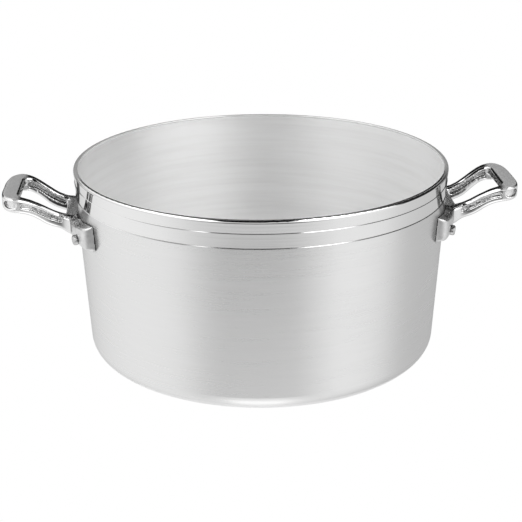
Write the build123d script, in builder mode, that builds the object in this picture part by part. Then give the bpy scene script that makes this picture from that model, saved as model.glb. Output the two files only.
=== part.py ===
from build123d import *
import os
from math import atan2, cos, radians, sin

# A 32 cm pot with two riveted loop handles. Millimetres.
# Origin on the pot's axis in the plane of its underside, +Z up,
# +X through the middle of the right handle, -Y to the front.

os.makedirs("parts", exist_ok=True)

# ---------------------------------------------------------------- pot dimensions
RIM_R = 160.0           # outside radius at the rim
HEIGHT = 165.0          # underside to rim
FOOT_R = 150.5          # outside radius where the wall line meets the underside
WALL = 4.0              # side wall thickness
BASE = 5.0              # floor thickness
HEEL = 15.0             # outside radius of the corner between wall and floor
BAND_H = 22.4           # height of the band under the rim
BAND_STEP = 0.5         # the band is turned down this far below the wall, leaving a ledge
BEAD_DROP = 10.4        # rim to the second ledge, inside the band
BEAD_IN = 0.15          # lower corner of the second ledge, in from the wall line
BEAD_FALL = 0.35        # and below the ledge
RIM_OUT_R = 2.3         # rounding of the rim, outside
RIM_IN_R = 0.8          # rounding of the rim, inside

FIT_GAP = 0.12          # handle back to wall
SHANK_GAP = 0.05        # rivet shank to its hole, radial

# ---------------------------------------------------------------- handle dimensions
# A loop of two legs and a grip bar, on a flange that hugs the wall.
# Heights are given from the rim plane, reaches from the pot's axis.
FLANGE_R = 165.6        # outside radius of the flange
FLANGE_HALF = 72.6      # half width of the flange, across the handle
FLANGE_TOP = -31.3      # height of the flange's top face at FLANGE_TOP_X
FLANGE_TOP_X = 140
FLANGE_FALL = 0.30      # the top face falls this much per mm of reach
FLANGE_BOT = -52.3
FLANGE_BOT_R = 3.4      # rounding of the lower edge
WING_CORNER = 7.0       # rounding of the wing ends, in plan
GRIP_X = 220.6          # outermost reach of the grip bar
NOSE_Z = -23.2          # height of that point
EDGE_R = 2.8            # rounding along the bars of the loop

# side profile of the legs: (reach, height), then (start, end) directions of the curve
LEG_TOP = [
    (150.0, -38.4), (160.0, -37.7), (168.0, -35.8), (176.0, -32.5), (184.0, -27.7),
    (192.0, -22.9), (200.0, -19.4), (207.0, -17.9), (214.5, -17.6),
]
LEG_TOP_ENDS = ((1, 0.06), (1, 0))
LEG_BOT = [
    (213.0, -30.2), (204.0, -30.9), (196.5, -33.4), (189.5, -37.8), (182.5, -43.0),
    (175.5, -46.2), (169.5, -48.4), (165.0, -50.8), (158.0, -53.0),
]
LEG_BOT_ENDS = ((-1, -0.02), (-1, -0.45))
NOSE_ENDS = ((1, 0), (-1, -0.02))

# plan outline of the loop: (reach, half width), then end directions
LOOP_PLAN = [
    (152.0, 44.0), (157.0, 38.0), (162.0, 33.2), (167.5, 30.2), (174.0, 29.2),
    (181.0, 30.2), (188.0, 32.2), (195.0, 34.6), (202.0, 36.8), (207.5, 37.2),
    (212.5, 34.8), (216.6, 29.4), (219.0, 21.0), (220.2, 11.0),
]
LOOP_ENDS = ((1, -1.3), (0, -1))

# finger opening
OPEN_IN = 164.3         # reach nearest the pot
OPEN_OUT = 205.6        # reach farthest from the pot
OPEN_PLAN = [(OPEN_IN, 22.4), (184.0, 24.0), (OPEN_OUT, 28.6)]  # (reach, half width)
OPEN_CORNERS = [(OPEN_IN, 3.5), (OPEN_OUT, 6.0)]                # (reach, corner radius)
OPEN_TAPER = 7.0        # degrees; the opening narrows downwards
OPEN_START = -16        # height the cut starts from
OPEN_CUT = 40           # length of the cut

# recessed panels on the faces of the legs: side profile as (reach, height)
PANEL_DEEP = 1.5
PANEL_TOP = [(171.0, -38.2), (178.0, -34.6), (185.0, -30.4), (192.5, -26.2), (200.0, -23.3)]
PANEL_BOT = [(200.0, -27.3), (192.5, -30.0), (185.0, -34.9), (178.0, -38.9), (171.0, -41.6)]
PANEL_BULGE_OUT = 2.1   # its rounded ends stand out this far, away from the pot
PANEL_BULGE_IN = 1.6    # and towards it
SKIN_OUT = 5            # the cut reaches this far outside the loop
SKIN_IN = 4             # and this far into the finger opening

# slot-shaped panels at the ends of the grip bar
SLOT_X = 210.8
SLOT_Z = -23.6
SLOT_LENGTH = 11.0
SLOT_WIDTH = 6.2
SLOT_INSET_X = 209      # beyond this reach the outline is also drawn in along X
SLOT_ENDS = ((1, 0.02), (0, -1))

# dished scoops in the top of each wing: sphere radius and centre
SCOOP_R = 40.0
SCOOP_X = 163.0
SCOOP_Y = 50.0
SCOOP_Z = 2.4

# hollow in the underside of the grip bar, on the side towards the pot
UNDERCUT = 3.6          # reach of the hollow past the edge of the opening
HOLLOW_R = 7.5
HOLLOW_Z = -31.2
HOLLOW_LENGTH = 50

# room allowed round the handle when drawing its profiles through
SIDE_HALF = 60          # half width of side profiles
PLAN_H = 70             # plan outlines run from this far below the rim up to it

# ---------------------------------------------------------------- rivet dimensions
RIVET_AZ = 20.0         # degrees each side of the handle's middle
RIVET_Z = -47.2         # from the rim plane
SHANK_R = 2.5
HEAD_R = 4.25
HEAD_H = 3.9
HEAD_CHAMFER = 0.9
HEAD_CROWN = 0.25       # rise of the head's middle above HEAD_H
HEAD_CLEAR = 0.03       # head to its seat
SEAT = 7.7              # rivet seat on the flange, out from the wall
SEAT_GAP = 0.5          # head to the side of its seat, radial
SEAT_CUT = 6            # length of the cut that makes the seat
RIVET_HOLE = 30         # depth of the rivet hole in the handle
SINK_R = 4.6            # flush countersunk head on the inside of the pot
SINK_ANGLE = 90.0
SINK_CLEAR = 0.02       # the countersunk head stops short of the inside face
SIDES = {"right": 1, "left": -1}
ENDS = {"front": -1, "rear": 1}


# ---------------------------------------------------------------- helpers
def wall_r(z):
    """Outside radius of the tapered wall at height z above the underside."""
    return FOOT_R + (RIM_R - FOOT_R) * z / HEIGHT


def rivet_plane(side, end, out, inward=False):
    """Plane square to the wall on a rivet's axis, `out` from the wall's outside."""
    az = radians(end * RIVET_AZ)
    tilt = atan2(RIM_R - FOOT_R, HEIGHT)
    z = HEIGHT + RIVET_Z
    normal = Vector(side * cos(az) * cos(tilt), sin(az) * cos(tilt), -sin(tilt))
    foot = Vector(side * wall_r(z) * cos(az), wall_r(z) * sin(az), z)
    return Plane(
        origin=foot + normal * out,
        x_dir=Vector(-side * sin(az), cos(az), 0),
        z_dir=-normal if inward else normal,
    )


def widened(points, grow):
    """Plan points with their half widths increased by `grow`."""
    return [(x, y + grow) for x, y in points]


def at_rim(points):
    """Side points with heights moved from the rim plane to the frame."""
    return [(x, HEIGHT + z) for x, z in points]


def opposite(point):
    """A plan point mirrored across the handle's middle."""
    return (point[0], -point[1])


def corner(sketch, x, y):
    """Vertex of a sketch nearest to x, y in the sketch's own plane."""
    return sketch.vertices().sort_by_distance((x, y, 0))[0]


def save(part, name):
    part.label = name
    export_step(part, f"parts/{name}.step")


# ---------------------------------------------------------------- pot body
BAND_Z = HEIGHT - BAND_H
BEAD_Z = HEIGHT - BEAD_DROP
IN_TOP = RIM_R - WALL
IN_FLOOR = wall_r(BASE) - WALL
POT_CORNERS = [         # radius, height, rounding
    (FOOT_R, 0, HEEL),
    (IN_FLOOR, BASE, HEEL - WALL),
    (RIM_R, HEIGHT, RIM_OUT_R),
    (IN_TOP, HEIGHT, RIM_IN_R),
]

with BuildPart() as pot_body:
    with BuildSketch(Plane.XZ) as shell:
        with BuildLine():
            Polyline(
                (0, 0),
                (FOOT_R, 0),
                (wall_r(BAND_Z), BAND_Z - BAND_STEP),
                (wall_r(BAND_Z) - BAND_STEP, BAND_Z),
                (wall_r(BEAD_Z) - BEAD_IN, BEAD_Z - BEAD_FALL),
                (wall_r(BEAD_Z) - BAND_STEP, BEAD_Z),
                (RIM_R, HEIGHT),
                (IN_TOP, HEIGHT),
                (IN_FLOOR, BASE),
                (0, BASE),
                (0, 0),
            )
        make_face()
        for x, z, rounding in POT_CORNERS:
            fillet(corner(shell, x, z), radius=rounding)
    revolve(axis=Axis.Z)
    # rivet holes, countersunk on the inside so that nothing stands up in the pot
    with Locations(*[rivet_plane(side, end, -WALL, inward=True)
                     for side in SIDES.values() for end in ENDS.values()]):
        CounterSinkHole(radius=SHANK_R + SHANK_GAP, counter_sink_radius=SINK_R + SHANK_GAP,
                        depth=WALL * 3, counter_sink_angle=SINK_ANGLE)

# ---------------------------------------------------------------- leg panel cutter
LEG_PLAN = LOOP_PLAN[3:11]

with BuildPart() as panel_tool:
    with BuildSketch(Plane.XZ.offset(-SIDE_HALF)):
        with BuildLine():
            upper = Spline(*at_rim(PANEL_TOP))
            lower = Spline(*at_rim(PANEL_BOT))
            far_mid = (upper @ 1 + lower @ 0) / 2 + Vector(PANEL_BULGE_OUT, 0)
            near_mid = (lower @ 1 + upper @ 0) / 2 + Vector(-PANEL_BULGE_IN, 0)
            ThreePointArc(upper @ 1, far_mid, lower @ 0)
            ThreePointArc(lower @ 1, near_mid, upper @ 0)
        make_face()
    extrude(amount=2 * SIDE_HALF)
    with BuildSketch(Plane.XY.offset(HEIGHT - PLAN_H)):
        # outer skin of the leg, then the skin round the finger opening
        for points, outer_grow, inner_grow in [
            (LEG_PLAN, SKIN_OUT, -PANEL_DEEP),
            (OPEN_PLAN, PANEL_DEEP, -SKIN_IN),
        ]:
            with BuildLine():
                outer = Spline(*widened(points, outer_grow))
                inner = Spline(*widened(points, inner_grow))
                Line(outer @ 0, inner @ 0)
                Line(outer @ 1, inner @ 1)
            make_face()
        mirror(about=Plane.XZ)
    extrude(amount=PLAN_H, mode=Mode.INTERSECT)

# ---------------------------------------------------------------- grip end panel cutter
INSET_PLAN = [(x - (PANEL_DEEP if x > SLOT_INSET_X else 0), y - PANEL_DEEP)
              for x, y in LOOP_PLAN[4:]]

with BuildPart() as end_tool:
    with BuildSketch(Plane.XZ.offset(-SIDE_HALF)):
        with Locations((SLOT_X, HEIGHT + SLOT_Z)):
            SlotOverall(SLOT_LENGTH, SLOT_WIDTH)
    extrude(amount=2 * SIDE_HALF)
    # keep only what lies outside the inset outline of the loop
    with BuildSketch(Plane.XY.offset(HEIGHT - PLAN_H)):
        with BuildLine():
            Polyline((190, 50), (230, 50), (230, -50), (190, -50), close=True)
        make_face()
        with BuildLine():
            inset = Spline(*INSET_PLAN, (GRIP_X - PANEL_DEEP, 0), tangents=SLOT_ENDS)
            mirror(inset, about=Plane.XZ)
            Line(inset @ 0, opposite(INSET_PLAN[0]))
        make_face(mode=Mode.SUBTRACT)
    extrude(amount=PLAN_H, mode=Mode.INTERSECT)

# ---------------------------------------------------------------- wing scoop cutter
with BuildPart() as scoop_tool:
    with Locations(*[(SCOOP_X, end * SCOOP_Y, HEIGHT + SCOOP_Z) for end in ENDS.values()]):
        Sphere(radius=SCOOP_R)

# ---------------------------------------------------------------- flange
STRIP_IN = 120          # radius well inside the wall
FALL_OUT = 180          # reach well outside the flange
FALL_HALF = 90          # half width of the top cut
WING_X = (FLANGE_R**2 - FLANGE_HALF**2) ** 0.5     # reach of the wing ends


def flange_top(reach):
    return HEIGHT + FLANGE_TOP + (FLANGE_TOP_X - reach) * FLANGE_FALL


with BuildPart() as flange:
    # ring about the pot's axis, its lower edge well rounded
    with BuildSketch(Plane.XZ) as strip:
        with BuildLine():
            Polyline((STRIP_IN, HEIGHT + FLANGE_TOP), (FLANGE_R, HEIGHT + FLANGE_TOP),
                     (FLANGE_R, HEIGHT + FLANGE_BOT), (STRIP_IN, HEIGHT + FLANGE_BOT),
                     close=True)
        make_face()
        fillet(corner(strip, FLANGE_R, HEIGHT + FLANGE_BOT), radius=FLANGE_BOT_R)
    revolve(axis=Axis.Z)
    # wings cut square to the handle, their ends rounded off
    with BuildSketch(Plane.XY.offset(HEIGHT - 60)) as wings:
        with BuildLine():
            Polyline((STRIP_IN, -FLANGE_HALF), (WING_X, -FLANGE_HALF))
            ThreePointArc((WING_X, -FLANGE_HALF), (FLANGE_R, 0), (WING_X, FLANGE_HALF))
            Polyline((WING_X, FLANGE_HALF), (STRIP_IN, FLANGE_HALF), (STRIP_IN, -FLANGE_HALF))
        make_face()
        fillet(wings.vertices().filter_by_position(Axis.X, 130, 170), radius=WING_CORNER)
    extrude(amount=40, mode=Mode.INTERSECT)
    # sloping top face
    with BuildSketch(Plane.XZ.offset(-FALL_HALF)):
        with BuildLine():
            Polyline((STRIP_IN, flange_top(STRIP_IN)), (FALL_OUT, flange_top(FALL_OUT)),
                     (FALL_OUT, HEIGHT), (STRIP_IN, HEIGHT), close=True)
        make_face()
    extrude(amount=2 * FALL_HALF, mode=Mode.SUBTRACT)

# ---------------------------------------------------------------- wall cutter
# everything inside the wall's outside face, plus the fitting gap
CORE_BOT = 60
CORE_TOP = 200

with BuildPart() as wall_tool:
    with BuildSketch(Plane.XZ):
        with BuildLine():
            Polyline((0, CORE_BOT), (wall_r(CORE_BOT) + FIT_GAP, CORE_BOT),
                     (wall_r(BAND_Z) + FIT_GAP, BAND_Z), (wall_r(BAND_Z) + FIT_GAP, CORE_TOP),
                     (0, CORE_TOP), close=True)
        make_face()
    revolve(axis=Axis.Z)


# ---------------------------------------------------------------- handles
def is_bar_edge(edge):
    """Edges of the loop to be rounded: clear of its root, and not short in plan."""
    box = edge.bounding_box()
    return box.max.X > 160 and box.size.Z < 40 and box.size.X + box.size.Y > 3.9


with BuildPart() as handle_right:
    # the legs' side profile, drawn out across the handle
    with BuildSketch(Plane.XZ.offset(-SIDE_HALF)):
        with BuildLine():
            top = Spline(*at_rim(LEG_TOP), tangents=LEG_TOP_ENDS)
            bottom = Spline(*at_rim(LEG_BOT), tangents=LEG_BOT_ENDS)
            Spline(top @ 1, (GRIP_X, HEIGHT + NOSE_Z), bottom @ 0, tangents=NOSE_ENDS)
            Line(bottom @ 1, top @ 0)
        make_face()
    extrude(amount=2 * SIDE_HALF)
    # cut to the loop's plan outline
    with BuildSketch(Plane.XY.offset(HEIGHT - PLAN_H)):
        with BuildLine():
            half = Spline(*LOOP_PLAN, (GRIP_X, 0), tangents=LOOP_ENDS)
            mirror(half, about=Plane.XZ)
            Line(half @ 0, opposite(LOOP_PLAN[0]))
        make_face()
    extrude(amount=PLAN_H, mode=Mode.INTERSECT)
    # finger opening, cut downwards
    with BuildSketch(Plane(origin=(0, 0, HEIGHT + OPEN_START), x_dir=(1, 0, 0),
                           z_dir=(0, 0, -1))) as opening:
        with BuildLine():
            Polyline(*OPEN_PLAN, *[opposite(point) for point in reversed(OPEN_PLAN)], close=True)
        make_face()
        for reach, rounding in OPEN_CORNERS:
            fillet(opening.vertices().filter_by_position(Axis.X, reach - 0.1, reach + 0.1),
                   radius=rounding)
    extrude(amount=OPEN_CUT, taper=OPEN_TAPER, mode=Mode.SUBTRACT)
    fillet(handle_right.edges().filter_by(is_bar_edge), radius=EDGE_R)
    # hollow along the grip bar's underside
    with Locations(Plane(origin=(OPEN_OUT + UNDERCUT - HOLLOW_R, 0, HEIGHT + HOLLOW_Z),
                         z_dir=(0, 1, 0)).location):
        Cylinder(radius=HOLLOW_R, height=HOLLOW_LENGTH, mode=Mode.SUBTRACT)
    add(panel_tool.part, mode=Mode.SUBTRACT)
    add(end_tool.part, mode=Mode.SUBTRACT)
    add(flange.part)
    add(scoop_tool.part, mode=Mode.SUBTRACT)
    add(wall_tool.part, mode=Mode.SUBTRACT)
    # rivet holes with a flat seat for each head
    with Locations(*[rivet_plane(1, end, SEAT + SEAT_CUT) for end in ENDS.values()]):
        CounterBoreHole(radius=SHANK_R + SHANK_GAP, counter_bore_radius=HEAD_R + SEAT_GAP,
                        counter_bore_depth=SEAT_CUT, depth=RIVET_HOLE)

with BuildPart() as handle_left:
    mirror(handle_right.part, about=Plane.YZ)


# ---------------------------------------------------------------- rivets
def make_rivet(side, end):
    """Turned rivet: flush countersunk head, shank, formed outer head."""
    inside = rivet_plane(side, end, -WALL)
    # sketch plane through the rivet's axis, its y pointing out of the pot
    section = Plane(origin=inside.origin, x_dir=inside.x_dir,
                    z_dir=inside.x_dir.cross(inside.z_dir))
    under_head = WALL + SEAT + HEAD_CLEAR
    head_top = WALL + SEAT + HEAD_H
    with BuildPart() as rivet:
        with BuildSketch(section):
            with BuildLine():
                Polyline(
                    (0, SINK_CLEAR),
                    (SINK_R - SINK_CLEAR, SINK_CLEAR),
                    (SHANK_R, SINK_R - SHANK_R),
                    (SHANK_R, under_head),
                    (HEAD_R, under_head),
                    (HEAD_R, head_top - HEAD_CHAMFER),
                    (HEAD_R - HEAD_CHAMFER, head_top),
                    (0, head_top + HEAD_CROWN),
                    (0, SINK_CLEAR),
                )
            make_face()
        revolve(axis=Axis(inside.origin, inside.z_dir))
    return rivet.part


for side_name, side in SIDES.items():
    for end_name, end in ENDS.items():
        save(make_rivet(side, end), f"rivet_{side_name}_{end_name}")

save(pot_body.part, "pot_body")
save(handle_right.part, "handle_right")
save(handle_left.part, "handle_left")
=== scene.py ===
"""A polished aluminium pot with two cast loop handles, riveted on.

The pot stands on z = 0 with its axis on Z. The handles point along +X and -X and the
camera looks from -Y. Lengths are in metres, and in millimetres where MM or a comment says so.
"""
import math

import bmesh
import bpy
import numpy as np
from mathutils import Matrix, Vector, noise


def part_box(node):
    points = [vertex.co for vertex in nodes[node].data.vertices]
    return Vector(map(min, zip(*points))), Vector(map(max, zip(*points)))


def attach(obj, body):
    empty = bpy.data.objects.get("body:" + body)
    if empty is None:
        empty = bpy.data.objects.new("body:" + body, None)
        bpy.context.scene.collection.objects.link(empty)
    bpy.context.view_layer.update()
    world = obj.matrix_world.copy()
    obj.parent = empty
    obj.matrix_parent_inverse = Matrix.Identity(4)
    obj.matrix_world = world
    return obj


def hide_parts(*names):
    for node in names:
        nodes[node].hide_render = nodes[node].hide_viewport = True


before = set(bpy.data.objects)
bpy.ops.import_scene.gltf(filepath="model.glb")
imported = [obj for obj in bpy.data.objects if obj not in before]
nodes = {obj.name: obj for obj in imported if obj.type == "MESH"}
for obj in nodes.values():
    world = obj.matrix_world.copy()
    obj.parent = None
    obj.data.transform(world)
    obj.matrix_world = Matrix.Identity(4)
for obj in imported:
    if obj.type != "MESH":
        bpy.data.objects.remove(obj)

MM = 0.001
scene = bpy.context.scene
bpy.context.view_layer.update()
pot_lo, pot_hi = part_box("pot_body")

HEIGHT = pot_hi.z         # rim plane
RIM_R = pot_hi.x          # outside radius at the rim
FOOT_R = 150.5 * MM       # outside radius at the foot
WALL = 4.0 * MM
LIP_OUT = 2.3 * MM        # rounding of the lip, outside
LIP_IN = 0.8 * MM         # rounding of the lip, inside
BAND = 22.4 * MM          # height of the polished band under the rim
LINE_DEPTH = 10.5 * MM    # the turned line inside the band, below the rim

VOXEL = 0.55 * MM         # remeshing size of the castings
CASTINGS = (("handle_right", 1), ("handle_left", 2))    # node, seed of its relief

CAM_YAW = 3.5             # degrees the camera is turned from +Y towards +X
CAM_PITCH = 69.07         # degrees up from looking straight down
CAM_ROLL = -0.315
CAM_PLACE = (-0.06464, -1.05688, 0.47737)

scene.view_settings.view_transform = "Standard"
scene.view_settings.look = "None"
scene.view_settings.exposure = 0.0
scene.view_settings.gamma = 1.0


def wall_radius(z):
    """Outside radius of the conical wall at height z."""
    return FOOT_R + (RIM_R - FOOT_R) * z / HEIGHT


# ---------------------------------------------------------------- node graphs
class Out:
    """An output of a node; + - * / on it add math nodes."""

    def __init__(self, graph, node, output=0):
        self.graph = graph
        self.node = node
        self.output = output

    def __add__(self, other):
        return self.graph.math("ADD", self, other)

    def __radd__(self, other):
        return self.graph.math("ADD", other, self)

    def __sub__(self, other):
        return self.graph.math("SUBTRACT", self, other)

    def __rsub__(self, other):
        return self.graph.math("SUBTRACT", other, self)

    def __mul__(self, other):
        return self.graph.math("MULTIPLY", self, other)

    def __truediv__(self, other):
        return self.graph.math("DIVIDE", self, other)


class Graph:
    """Builds the node tree of a material or world; inputs take outputs or plain values."""

    def __init__(self, owner):
        owner.use_nodes = True
        self.tree = owner.node_tree
        self.tree.nodes.clear()

    def feed(self, node, inputs):
        for key, value in inputs.items():
            if isinstance(value, Out):
                self.tree.links.new(value.node.outputs[value.output], node.inputs[key])
            else:
                node.inputs[key].default_value = value

    def add(self, kind, inputs=None, output=0, **props):
        node = self.tree.nodes.new(kind)
        for key, value in props.items():
            setattr(node, key, value)
        self.feed(node, inputs or {})
        return Out(self, node, output)

    def math(self, operation, *operands):
        return self.add("ShaderNodeMath", dict(enumerate(operands)), operation=operation)

    def clip(self, value, lo, hi):
        return self.math("MINIMUM", self.math("MAXIMUM", value, lo), hi)

    def rise(self, value, lo, hi, to_lo=0.0, to_hi=1.0):
        """Smooth step from to_lo to to_hi while the value goes from lo to hi."""
        inputs = {"Value": value, "From Min": lo, "From Max": hi, "To Min": to_lo, "To Max": to_hi}
        return self.add("ShaderNodeMapRange", inputs, "Result",
                        interpolation_type="SMOOTHSTEP", clamp=True)

    def window(self, value, up, down):
        """1 between two smooth steps, each given as (start, end)."""
        return self.rise(value, *up) * (1 - self.rise(value, *down))

    def mix(self, mask, off, on):
        return self.add("ShaderNodeMix", {0: mask, 2: off, 3: on}, data_type="FLOAT")

    def xyz(self, x, y, z):
        return self.add("ShaderNodeCombineXYZ", {0: x, 1: y, 2: z})

    def split(self, vector):
        node = self.add("ShaderNodeSeparateXYZ", {0: vector}).node
        return [Out(self, node, i) for i in range(3)]

    def colour(self, red, green, blue):
        return self.add("ShaderNodeCombineColor", {0: red, 1: green, 2: blue})

    def grey(self, value):
        return self.colour(value, value, value)

    def noise(self, vector, scale, detail, rough):
        inputs = {"Vector": vector, "Scale": scale, "Detail": detail, "Roughness": rough}
        return self.add("ShaderNodeTexNoise", inputs, noise_dimensions="3D")

    def bump(self, height, strength, distance, normal=None):
        inputs = {"Height": height, "Strength": strength, "Distance": distance}
        if normal is not None:
            inputs["Normal"] = normal
        return self.add("ShaderNodeBump", inputs)

    def object_place(self):
        return self.add("ShaderNodeTexCoord", output="Object")

    def geometry(self, output):
        return self.add("ShaderNodeNewGeometry", output=output)

    def ray(self, output):
        return self.add("ShaderNodeLightPath", output=output)

    def attribute(self, name):
        return self.add("ShaderNodeAttribute", output="Fac",
                        attribute_type="GEOMETRY", attribute_name=name)

    def openness(self, distance):
        """Ambient occlusion: 1 in the open, lower in narrow places."""
        return self.add("ShaderNodeAmbientOcclusion", {"Distance": distance}, "AO", samples=6)


def vary(texture, amount):
    """A 0 to 1 texture centred on zero, over the given range."""
    return (texture - 0.5) * amount


def metal(name):
    mat = bpy.data.materials.new(name)
    g = Graph(mat)
    bsdf = g.add("ShaderNodeBsdfPrincipled", {"Metallic": 1.0})
    g.add("ShaderNodeOutputMaterial", {"Surface": bsdf})
    return mat, g, bsdf.node


# ---------------------------------------------------------------- brushed aluminium of the pot
def lip_normal(g, radius, dir_x, dir_y, z):
    """Normals of the two lip roundings, true to their radii however coarse the mesh is."""
    def rounding(size):
        up = g.clip((z - (HEIGHT - size)) / size, lo=-0.06, hi=1.0)
        return up, g.math("SQRT", 1 - up * up)

    up_out, side_out = rounding(LIP_OUT)
    up_in, side_in = rounding(LIP_IN)
    outer = g.math("GREATER_THAN", radius, RIM_R - WALL + 1.1 * MM)
    lean = g.mix(outer, off=side_in * -1.0, on=side_out)
    up = g.mix(outer, off=up_in, on=up_out)
    rounded = g.add("ShaderNodeVectorTransform", {0: g.xyz(lean * dir_x, lean * dir_y, up)},
                    vector_type="NORMAL", convert_from="OBJECT", convert_to="WORLD")
    reach = g.mix(outer, off=LIP_IN * 0.97, on=LIP_OUT * 1.04)
    on_lip = g.math("GREATER_THAN", z, HEIGHT - reach)
    return g.add("ShaderNodeMix", {0: on_lip, 4: g.geometry("Normal"), 5: rounded}, 1,
                 data_type="VECTOR")


def make_pot_metal():
    mat, g, bsdf = metal("brushed_aluminium")
    place = g.object_place()
    x, y, z = g.split(place)
    radius = g.math("SQRT", x * x + y * y)
    safe_radius = g.math("MAXIMUM", radius, 0.002)
    dir_x, dir_y = x / safe_radius, y / safe_radius     # dir_y is -1 at the front
    along = radius + z                                  # runs on over base and wall

    # zones
    wall = FOOT_R + z * ((RIM_R - FOOT_R) / HEIGHT)
    outside = g.rise(radius, lo=wall - 2.6 * MM, hi=wall - 1.6 * MM)
    in_band = g.rise(z, lo=HEIGHT - BAND - 0.35 * MM, hi=HEIGHT - BAND + 0.15 * MM)
    lip = g.rise(z, lo=HEIGHT - 2.2 * MM, hi=HEIGHT - 1.0 * MM)
    polish = g.math("MAXIMUM", outside * in_band, lip)
    inside = (1 - outside) * (1 - lip)
    upward = g.rise(g.split(g.geometry("True Normal"))[2], lo=0.2, hi=0.4)
    # occlusion mask for the painted shade in the narrow gaps beside the handles
    crevice_shade = g.rise(g.openness(distance=0.004), lo=0.84, hi=0.70)
    painted_occlusion_shade = crevice_shade * outside * (g.ray("Is Camera Ray") * (1 - upward))

    def by_zone(wall, inner, band):
        return g.mix(polish, off=g.mix(inside, off=wall, on=inner), on=band)

    # the two fine turned lines of the band
    def groove(height, half):
        offset = (z - height) / half
        return g.math("POWER", math.e, offset * offset * -1.0)

    lines = outside * g.math("MAXIMUM", groove(HEIGHT - LINE_DEPTH, half=0.42 * MM) * 0.75,
                             groove(HEIGHT - BAND - 0.3 * MM, half=0.55 * MM))

    # turned and brushed marks: long round the pot, fine across; pitch in mm
    def marks(around, pitch, detail, rough):
        vector = g.xyz(dir_x * around, dir_y * around, along * (1.0 / (pitch * MM)))
        return g.noise(vector, 1.0, detail, rough)

    broad = marks(around=1.3, pitch=5.5, detail=3.0, rough=0.6)
    mid = marks(around=3.2, pitch=1.8, detail=3.0, rough=0.65)
    fine = marks(around=9.0, pitch=0.35, detail=2.0, rough=0.7)
    cloud = g.noise(place, scale=16.0, detail=3.0, rough=0.5)
    brushed = broad * 0.35 + mid * 0.4 + fine * 0.25

    roughness = by_zone(wall=0.29 + vary(brushed, 0.24) + vary(cloud, 0.06),
                        inner=0.47 + vary(brushed, 0.45),
                        band=0.065 + vary(brushed, 0.10))
    # inner: the paler tone of the inside is painted light, brightening the inside of the pot over
    # the wall's tone
    tone = by_zone(wall=0.90 + vary(brushed, 0.10) + vary(cloud, 0.03),
                   inner=0.985 + (vary(brushed, 0.12) + vary(broad, 0.16)),
                   band=0.93 + vary(broad, 0.03))
    # painted dark reflection in the turned lines, darkest at the front and fading towards the
    # sides
    tone = tone * (1 - lines * g.rise(dir_y, lo=-0.95, hi=-0.80, to_lo=0.22, to_hi=0.03))
    # painted shade: upward faces outside are darkened beside the very front, then the painted
    # shade fades out towards the sides
    ledge_shade = upward * (1 - lip) * outside * g.rise(dir_y, lo=-0.95, hi=-0.90)
    tone = tone * (1 - ledge_shade * g.rise(dir_y, lo=-0.88, hi=-0.62, to_lo=0.80, to_hi=0.04))
    # painted shade: the outer wall is darkened in the narrow gaps beside the handle flanges, for
    # camera rays only
    tone = tone * (1 - painted_occlusion_shade * 0.92)
    dull_lip = lip * g.rise(dir_y, lo=-0.45, hi=-0.15)  # all but the front of the lip

    relief = mid * 0.6 + fine * 0.4
    normal = g.bump(relief, strength=g.mix(polish, off=0.35, on=0.06), distance=0.00002,
                    normal=lip_normal(g, radius, dir_x, dir_y, z))
    # long shallow turned rings
    rings = marks(around=0.5, pitch=2.6, detail=2.0, rough=0.55) * 0.7 + broad * 0.5
    g.feed(bsdf, {
        "Base Color": g.colour(tone, tone * 1.0, tone * 0.998),
        "Roughness": roughness,
        "Anisotropic": by_zone(wall=0.9, inner=0.7, band=0.7),
        "Metallic": g.mix(inside, off=1.0, on=0.62) - dull_lip * 0.58,
        "Anisotropic Rotation": 0.25,
        "Tangent": g.add("ShaderNodeTangent", direction_type="RADIAL", axis="Z"),
        "Normal": g.bump(rings, strength=by_zone(wall=0.25, inner=0.8, band=0.9),
                         distance=0.00005, normal=normal),
    })
    return mat


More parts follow.
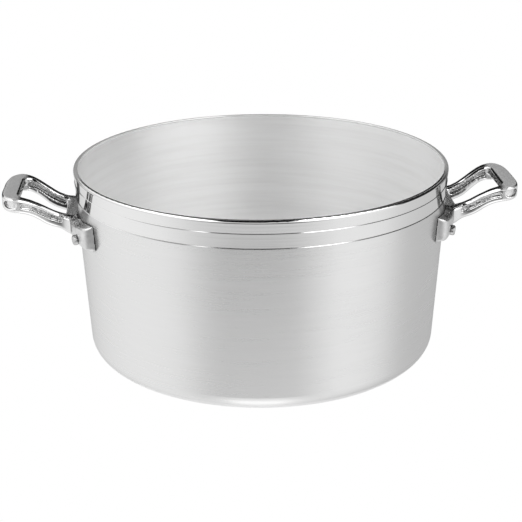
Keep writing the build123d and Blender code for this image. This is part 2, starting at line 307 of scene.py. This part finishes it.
# ---------------------------------------------------------------- polished casting of the handles
def make_handle_metal():
    mat, g, bsdf = metal("polished_casting")
    place = g.object_place()

    def axis(i):
        return g.split(place)[i]

    # zones: the first three are painted on the mesh
    cast = g.attribute("cast")
    dish = g.attribute("dish")
    satin = g.attribute("satin")
    wing = g.rise(g.math("ABSOLUTE", axis(1)), lo=38.0 * MM, hi=44.0 * MM)
    pointiness = g.geometry("Pointiness")
    edge = g.rise(pointiness, lo=0.505, hi=0.56)
    crease_shade = g.rise(pointiness, lo=0.495, hi=0.44)
    # occlusion mask for painted shade in narrow gaps, camera rays only
    painted_occlusion_shade = g.rise(g.openness(distance=0.0025), lo=0.6, hi=0.2) * g.ray("Is Camera Ray")

    grit = g.noise(place, scale=900.0, detail=5.0, rough=0.65)
    grains = g.add("ShaderNodeTexVoronoi",
                   {"Vector": place, "Scale": 620.0, "Smoothness": 0.35}, "Distance",
                   voronoi_dimensions="3D", feature="SMOOTH_F1")
    blotch = g.noise(place, scale=120.0, detail=3.0, rough=0.55)
    dents = g.noise(place, scale=260.0, detail=4.0, rough=0.6)
    buff = g.noise(g.xyz(axis(0) * 1.0, axis(1) * 3.0, axis(2) * 9.0),
                   scale=300.0, detail=4.0, rough=0.6)
    scratch = g.noise(g.xyz(axis(0) * 5.0, axis(1), axis(2)), scale=260.0, detail=4.0, rough=0.7)

    # painted shade: concave creases of the casting are darkened
    tone = 0.90 + vary(buff, 0.06) - crease_shade * 0.10
    tone = g.mix(satin, off=tone, on=0.76 + vary(scratch, 0.34))
    tone = g.mix(dish, off=tone, on=0.98)
    tone = tone * g.mix(wing, off=1.0, on=0.93 + vary(dents, 0.45))
    cast_tone = g.clip(0.60 + vary(grit, 1.1) + vary(blotch, 0.5), lo=0.08, hi=0.92)
    # painted shade: darker in narrow gaps, except on the side faces of the grip bar
    tone = g.mix(cast, off=tone, on=cast_tone) * (1 - painted_occlusion_shade * (1 - dish) * 0.8)
    # painted reflection: seen in another mirror surface the castings are painted darker than when
    # looked at
    tone = tone * (1 - g.ray("Is Glossy Ray") * 0.62)

    roughness = g.mix(satin, off=0.055, on=0.40) + (buff - 0.4) * 0.10 - edge * 0.03
    roughness = g.mix(wing, off=g.mix(dish, off=roughness, on=0.24), on=0.38)
    roughness = g.mix(cast, off=roughness, on=0.24 + vary(blotch, 0.3))

    normal = g.bump(grains * 0.7 + grit * 0.6, strength=cast * 1.0, distance=0.0008)
    g.feed(bsdf, {
        "Base Color": g.grey(tone),
        "Metallic": 1 - g.math("MAXIMUM", satin * 0.65, dish * 0.5),
        "Roughness": g.math("MAXIMUM", roughness, 0.045),
        "Normal": g.bump(buff, strength=0.10, distance=0.00003, normal=normal),
    })
    return mat


def make_rivet_metal():
    mat, g, bsdf = metal("satin_rivet")
    place = g.object_place()
    hammer = g.noise(place, scale=420.0, detail=3.0, rough=0.6)
    fine = g.noise(place, scale=2200.0, detail=2.0, rough=0.5)
    shade = g.rise(g.openness(distance=0.0015), lo=0.5, hi=0.9, to_lo=0.25, to_hi=1.0)
    normal = g.bump(hammer, strength=0.22, distance=0.0003)
    g.feed(bsdf, {
        "Base Color": g.grey((0.64 + vary(hammer, 0.5)) * shade),
        "Roughness": 0.26 + vary(fine, 0.2),
        "Normal": g.bump(fine, strength=0.15, distance=0.00005, normal=normal),
    })
    return mat


# ---------------------------------------------------------------- handle meshes
# Zones are set out in mm on the right-hand handle: x outwards, z from the rim plane.
# Recessed side panels of the loop: x, z of the lower edge, z of the upper edge.
PANEL = [(171.0, -41.6, -38.2), (178.0, -38.9, -34.6), (185.0, -34.9, -30.4),
         (192.5, -30.0, -26.2), (200.0, -27.3, -23.3)]
PANEL_X, PANEL_LOW, PANEL_HIGH = zip(*PANEL)
SCOOP_CENTRE = (163.0, 50.0, 2.4)       # ball whose surface cuts the scoops; y on both sides
SCOOP_R = 40.0


def ease(value, lo, hi):
    """Smooth step from 0 at lo to 1 at hi."""
    t = np.clip((value - lo) / (hi - lo), 0, 1)
    return t * t * (3 - 2 * t)


def cast_mask(x, y, z, normal):
    """1 where the casting is left rough: side panels, scoops, middle web and wings."""
    wide = np.abs(y)
    low = np.interp(x, PANEL_X, PANEL_LOW)
    high = np.interp(x, PANEL_X, PANEL_HIGH)
    sideways = ease(np.abs(normal[:, 1]), lo=0.35, hi=0.6) * (wide > 15)
    outer = (normal[:, 1] * y > 0).astype(float)
    lift = 0.3 + 1.9 * (1 - outer)      # the faces inside the loop are rough higher up
    depth = np.minimum(np.minimum(high + lift - z, z - low + 0.3),
                       np.minimum(x - 169.8, 201.6 - x))
    panel = ease(depth, lo=0.0, hi=0.7) * sideways * (1 - outer * ease(x, lo=189, hi=198))

    ball_x, ball_y, ball_z = SCOOP_CENTRE
    ball = np.sqrt((x - ball_x) ** 2 + (wide - ball_y) ** 2 + (z - ball_z) ** 2)
    scoop = ease(0.75 - np.abs(ball - SCOOP_R), lo=0.0, hi=0.5) * (z < -30)
    scoop = scoop * ease(normal[:, 2], lo=0.15, hi=0.4)

    web = ease(167.0 - x, lo=0.0, hi=1.0) * ease(23.5 - wide, lo=0.0, hi=1.0)
    web = web * ease(z + 50.0, lo=0.0, hi=3.0) * (x > 161.5)

    wing = ease(normal[:, 2], lo=0.45, hi=0.7) * ease(-30.5 - z, lo=0.0, hi=1.5)
    wing = wing * ease(wide, lo=20, hi=26) * ease(66.0 - wide, lo=0.0, hi=3.0) * (x < 172)
    return np.clip(np.maximum.reduce([panel, scoop, web * 0.8, wing]), 0, 1)


def satin_mask(x, y, z, normal):
    """1 on the flat top of the grip bar, 0.5 on the web between the wings."""
    up = normal[:, 2]
    grip = ease(up, lo=0.80, hi=0.93) * ease(x, lo=201, hi=206) * ease(z, lo=-19.6, hi=-18.6)
    web = ease(168.5 - x, lo=0.0, hi=1.5) * ease(24.5 - np.abs(y), lo=0.0, hi=1.5)
    web = web * ease(up, lo=0.1, hi=0.5)
    return np.maximum(grip, 0.5 * web)


def add_relief(points, cast, seed):
    """Relief in mm: soft waves everywhere and coarse grain on the cast ground.

    The cast mask is broken up into patches on the way.
    """
    relief = np.zeros(len(points))
    seed_shift = Vector((seed * 17.3, seed * 5.1, seed * 9.7))
    patch_shift = Vector((9.1, 3.3, 7.7))
    for i in range(len(points)):
        q = Vector(points[i]) + seed_shift
        height = 0.10 * noise.noise(q / 9.0) + 0.045 * noise.noise(q / 4.0)
        if cast[i] > 0.02:
            patch = 0.75 + 1.3 * noise.noise(q / 5.0 + patch_shift)
            cast[i] *= min(1.0, max(0.0, patch))
            cells, _ = noise.voronoi(q / 2.3)
            grain = 0.55 * (0.45 - cells[0]) + 0.22 * noise.noise(q / 1.3) - 0.08
            height += cast[i] * grain
        relief[i] = height
    return relief


def voxel_mesh(source, name):
    """An even, fine remesh of the CAD casting."""
    me = source.data.copy()
    bm = bmesh.new()
    bm.from_mesh(me)
    bmesh.ops.remove_doubles(bm, verts=bm.verts, dist=3e-6)
    bm.to_mesh(me)
    bm.free()
    helper = bpy.data.objects.new("tmp_" + name, me)
    scene.collection.objects.link(helper)
    mod = helper.modifiers.new("voxels", "REMESH")
    mod.mode = "VOXEL"
    mod.voxel_size = VOXEL
    mod.adaptivity = 0.0
    depsgraph = bpy.context.evaluated_depsgraph_get()
    mesh = bpy.data.meshes.new_from_object(helper.evaluated_get(depsgraph))
    bpy.data.objects.remove(helper)
    mesh.name = name
    return mesh


def soften(rest, pull):
    """Rounds the edges, most on the wings, and leaves the face against the pot in place."""
    co = rest.copy()
    for _ in range(6):                  # smooth without shrinking
        co = co + 0.5 * pull(co)
        co = co - 0.52 * pull(co)
    wing = ease(np.abs(rest[:, 1]) / MM, lo=36, hi=46)[:, None]
    for _ in range(26):
        co = co + 0.5 * pull(co) * wing
    gap = np.hypot(rest[:, 0], rest[:, 1]) - wall_radius(rest[:, 2])
    keep = 1 - ease(gap / MM, lo=0.8, hi=2.4)
    return co * (1 - keep[:, None]) + rest * keep[:, None], keep


def make_casting(node, seed):
    """The CAD casting with softened edges and real relief on its rough grounds."""
    source = nodes[node]
    name = node + "_casting"
    mesh = voxel_mesh(source, name)
    count = len(mesh.vertices)
    rest = np.zeros(count * 3, np.float32)
    mesh.vertices.foreach_get("co", rest)
    rest = rest.reshape(-1, 3).astype(float)
    edges = np.zeros(len(mesh.edges) * 2, np.int32)
    mesh.edges.foreach_get("vertices", edges)
    edges = edges.reshape(-1, 2)
    degree = np.bincount(edges.ravel(), minlength=count)[:, None].astype(float)

    def pull(values):
        """Step from each vertex to the mean of its neighbours."""
        total = np.zeros_like(values)
        for k in range(values.shape[1]):
            total[:, k] = (np.bincount(edges[:, 0], values[edges[:, 1], k], count)
                           + np.bincount(edges[:, 1], values[edges[:, 0], k], count))
        return total / degree - values

    def place(co):
        mesh.vertices.foreach_set("co", co.astype(np.float32).ravel())
        mesh.update()

    co, keep = soften(rest, pull)
    place(co)
    normals = np.zeros(count * 3, np.float32)
    mesh.vertex_normals.foreach_get("vector", normals)
    normals = normals.reshape(-1, 3).astype(float)

    # the masks are worked out on the right-hand handle
    side = 1.0 if source.data.vertices[0].co.x > 0 else -1.0
    mirror = np.array([side, 1, 1])
    points = co / MM * mirror
    facing = normals * mirror
    x, y = points[:, 0], points[:, 1]
    z = points[:, 2] - HEIGHT / MM
    cast = cast_mask(x, y, z, facing) * (1 - keep)
    cast = cast + 0.4 * pull(cast[:, None])[:, 0]
    relief = add_relief(points, cast, seed) * (1 - keep)
    place(co + normals * (relief * MM)[:, None])

    masks = {
        "satin": satin_mask(x, y, z, facing),
        # the side faces of the grip bar
        "dish": ease(x, lo=201.5, hi=203.5) * ease(np.abs(facing[:, 1]), lo=0.35, hi=0.6),
        "cast": np.clip(cast, 0, 1),
    }
    for key, mask in masks.items():
        attribute = mesh.attributes.new(key, "FLOAT", "POINT")
        attribute.data.foreach_set("value", mask.astype(np.float32))
    shade_smooth(mesh)
    ob = bpy.data.objects.new(name, mesh)
    scene.collection.objects.link(ob)
    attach(ob, "root")
    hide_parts(node)
    return ob


def shade_smooth(mesh):
    mesh.polygons.foreach_set("use_smooth", np.ones(len(mesh.polygons), bool))


def dress_rivet(ob):
    """Satin rivet, with its flush end inside the pot brushed like the wall."""
    ob.data.materials.append(pot_metal)
    for poly in ob.data.polygons:
        c = poly.center
        if math.hypot(c.x, c.y) < wall_radius(c.z) - WALL + 0.4 * MM:
            poly.material_index = 1
    ob.material_slots[0].material = rivet_metal
    shade_smooth(ob.data)


pot_metal = make_pot_metal()
handle_metal = make_handle_metal()
rivet_metal = make_rivet_metal()

for node, seed in CASTINGS:
    casting = make_casting(node, seed)
    casting.data.materials.clear()
    casting.data.materials.append(handle_metal)

for name, ob in nodes.items():
    if name.startswith("rivet"):
        dress_rivet(ob)
    elif name == "pot_body":
        for slot in ob.material_slots:
            slot.material = pot_metal
        shade_smooth(ob.data)


# ---------------------------------------------------------------- light: a soft studio all round
# Brightness by direction: degrees to the right of the camera's side, display grey 0 to 255.
# Below the horizon:
LOW = [(-180, 190), (-160, 200), (-145, 211), (-128, 221), (-114, 227), (-98, 230), (-80, 229),
       (-64, 225), (-52, 216), (-40, 205), (-28, 196), (-16, 188), (-4, 186), (8, 187),
       (18, 193), (28, 203), (38, 214), (49, 223), (60, 225), (72, 223), (82, 218), (92, 208),
       (104, 199), (122, 192), (140, 189), (160, 188), (180, 190)]
# Above it, soft boxes left and right, dark at the far right:
HIGH = [(-180, 160), (-150, 180), (-130, 200), (-105, 204), (-75, 216), (-46, 236), (-30, 240),
        (-22, 195), (-15, 188), (15, 188), (21, 200), (28, 250), (84, 253), (92, 80), (98, 26),
        (132, 26), (146, 110), (165, 150), (180, 160)]
DARK = 0.012              # brightness of the dark panel and the dark horizon
SLOT_DARK = 0.008         # brightness of the slot overhead


def linear(grey):
    """Linear value of a display grey given 0 to 255."""
    v = grey / 255.0
    return v / 12.92 if v <= 0.04045 else ((v + 0.055) / 1.055) ** 2.4


def round_table(g, turn, table, gain, interpolation):
    """Brightness from a table, where turn runs 0 to 1 over -180 to 180 degrees."""
    ramp = g.add("ShaderNodeValToRGB", {0: turn})
    ramp.node.color_ramp.interpolation = interpolation
    elements = ramp.node.color_ramp.elements
    while len(elements) > 1:
        elements.remove(elements[-1])
    for i, (angle, grey) in enumerate(table):
        position = (angle + 180.0) / 360.0
        element = elements[0] if i == 0 else elements.new(position)
        element.position = position
        value = linear(grey) * gain
        element.color = (value, value, value, 1.0)
    return g.add("ShaderNodeSeparateColor", {0: ramp})


def make_world():
    world = bpy.data.worlds.new("studio")
    scene.world = world
    g = Graph(world)
    x, y, z = g.split(g.add("ShaderNodeTexCoord", output="Generated"))
    azimuth = g.math("ARCTAN2", y, x)
    turn = g.math("FRACT", (azimuth + math.radians(90 + CAM_YAW)) / (2 * math.pi) + 0.5)
    height = g.math("ARCSINE", z) / (math.pi / 2) * 90.0    # degrees above the horizon
    right = (turn - 0.5) * 360.0        # degrees to the right of the camera's side
    yaw_cos, yaw_sin = math.cos(math.radians(CAM_YAW)), math.sin(math.radians(CAM_YAW))
    lateral = x * yaw_cos - y * yaw_sin     # rightwards part of the direction
    away = x * yaw_sin + y * yaw_cos        # away from the camera

    low = round_table(g, turn, LOW, gain=1.10, interpolation="LINEAR")
    high = round_table(g, turn, HIGH, gain=1.65, interpolation="EASE")

    # below the horizon: in front the light grows steadily from 31 degrees down
    front = 1 - g.rise(g.math("ABSOLUTE", right + 2.0), lo=12.0, hi=52.0)
    low = g.clip(low + front * ((-31.0 - height) * 0.033), lo=0.03, hi=1.7)
    low = g.mix(g.rise(height, lo=-62.0, hi=-80.0) * 0.7, off=low, on=0.85)

    # above it: brighter towards the top, dimmer near the horizon
    high = high * (g.rise(height, lo=30.0, hi=60.0, to_lo=1.0, to_hi=1.7)
                   * g.rise(height, lo=12.0, hi=24.0, to_lo=0.66, to_hi=1.0))
    env = g.mix(g.rise(height, lo=-4.0, hi=5.0), off=low, on=high)

    # a dark panel low behind the pot
    behind = g.rise(away, lo=0.0, hi=0.2) * g.rise(height, lo=10.0, hi=14.0)
    panel = g.window(lateral, up=(-0.44, -0.36), down=(0.34, 0.42)) * behind
    env = g.mix(panel * (1 - g.rise(height, lo=43.0, hi=51.0)), off=env, on=DARK)

    # a dark slot that runs from over the camera to behind the pot
    slot = g.window(lateral, up=(-0.40, -0.31), down=(0.24, 0.32))
    near = g.rise(height, lo=28.0, hi=35.0) * (1 - g.rise(away, lo=-0.1, hi=0.15))
    reach = g.math("MAXIMUM", near, g.rise(height, lo=50.0, hi=57.0))
    env = g.mix(slot * reach, off=env, on=SLOT_DARK)

    # dark horizon behind the pot
    horizon = (g.rise(g.math("ABSOLUTE", right), lo=128.0, hi=145.0)
               * g.window(height, up=(-10.0, -6.0), down=(13.0, 18.0)))
    env = g.mix(horizon, off=env, on=DARK)

    # the camera itself sees plain white
    studio = g.add("ShaderNodeBackground", {"Color": g.grey(env)})
    white = g.add("ShaderNodeBackground", {"Color": (1, 1, 1, 1)})
    surface = g.add("ShaderNodeMixShader", {0: g.ray("Is Camera Ray"), 1: studio, 2: white})
    g.add("ShaderNodeOutputWorld", {"Surface": surface})


def make_floor():
    """Plain white disc, seen by the camera only."""
    bm = bmesh.new()
    bmesh.ops.create_circle(bm, cap_ends=True, radius=6.0, segments=96)
    mesh = bpy.data.meshes.new("floor")
    bm.to_mesh(mesh)
    bm.free()
    floor = bpy.data.objects.new("floor", mesh)
    floor.location.z = pot_lo.z - 0.2 * MM
    scene.collection.objects.link(floor)
    mat = bpy.data.materials.new("pale_floor")
    g = Graph(mat)
    glow = g.add("ShaderNodeEmission", {"Color": (1, 1, 1, 1)})
    g.add("ShaderNodeOutputMaterial", {"Surface": glow})
    mesh.materials.append(mat)
    for ray in ("glossy", "diffuse", "transmission", "shadow", "volume_scatter"):
        setattr(floor, "visible_" + ray, False)


def make_camera():
    data = bpy.data.cameras.new("camera")
    data.sensor_width = 36.0
    data.lens = 88.54
    data.shift_x = -0.00082
    data.clip_start = 0.01
    data.clip_end = 50.0
    camera = bpy.data.objects.new("camera", data)
    scene.collection.objects.link(camera)
    turned = Matrix.Rotation(math.radians(-CAM_YAW), 4, "Z")
    turned = turned @ Matrix.Rotation(math.radians(CAM_PITCH), 4, "X")
    turned = turned @ Matrix.Rotation(math.radians(CAM_ROLL), 4, "Z")
    camera.matrix_world = Matrix.Translation(CAM_PLACE) @ turned
    scene.camera = camera


make_world()
make_floor()
make_camera()
